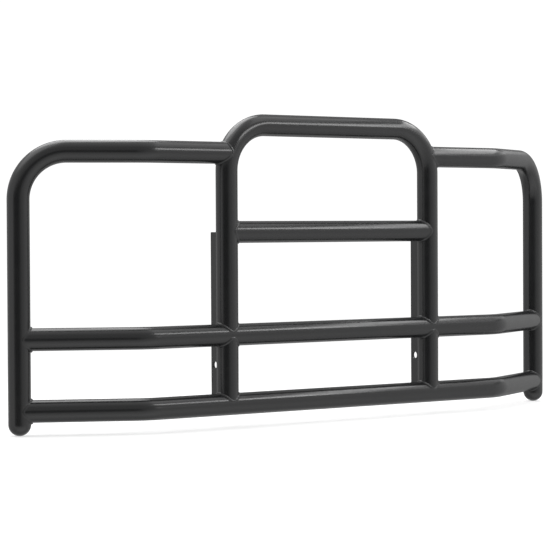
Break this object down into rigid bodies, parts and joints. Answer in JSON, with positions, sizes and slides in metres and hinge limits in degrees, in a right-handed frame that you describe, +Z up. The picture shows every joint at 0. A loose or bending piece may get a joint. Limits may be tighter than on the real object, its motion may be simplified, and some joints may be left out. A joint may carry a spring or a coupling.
{
  "type": "front grille guard",
  "caption": "Welded tubular grille guard for the front of a heavy truck, with angled wings, domed lower ends and plates behind the centre uprights.",
  "frame": {"origin": "centre of the guard's outline, on the level of the domed lower ends", "axes": "+X along the guard's width, to the right of someone looking at its front; +Y back towards the truck; +Z up"},
  "size_m": [2.4062, 0.2762, 1.085],
  "materials": {
    "black_powder_coat": "satin",
    "coated_plate": "satin",
    "coated_weld": "satin"
  },
  "bodies": {
    "root": {"lower_rail": "black_powder_coat", "mid_rail": "black_powder_coat", "centre_hoop": "black_powder_coat", "crossbar": "black_powder_coat", "lower_upright_left": "black_powder_coat", "lower_upright_right": "black_powder_coat", "wing_tube_left": "black_powder_coat", "wing_tube_right": "black_powder_coat", "end_cap_left": "black_powder_coat", "end_cap_right": "black_powder_coat", "mounting_plate_left": "coated_plate", "mounting_plate_right": "coated_plate", "weld_upright_foot_left": "coated_weld", "weld_upright_top_left": "coated_weld", "weld_hoop_foot_left": "coated_weld", "weld_crossbar_left": "coated_weld", "weld_wing_top_left": "coated_weld", "weld_mid_rail_left": "coated_weld", "weld_lower_rail_left": "coated_weld", "weld_plate_outer_left": "coated_weld", "weld_plate_inner_left": "coated_weld", "weld_upright_foot_right": "coated_weld", "weld_upright_top_right": "coated_weld", "weld_hoop_foot_right": "coated_weld", "weld_crossbar_right": "coated_weld", "weld_wing_top_right": "coated_weld", "weld_mid_rail_right": "coated_weld", "weld_lower_rail_right": "coated_weld", "weld_plate_outer_right": "coated_weld", "weld_plate_inner_right": "coated_weld"}
  },
  "joints": []
}
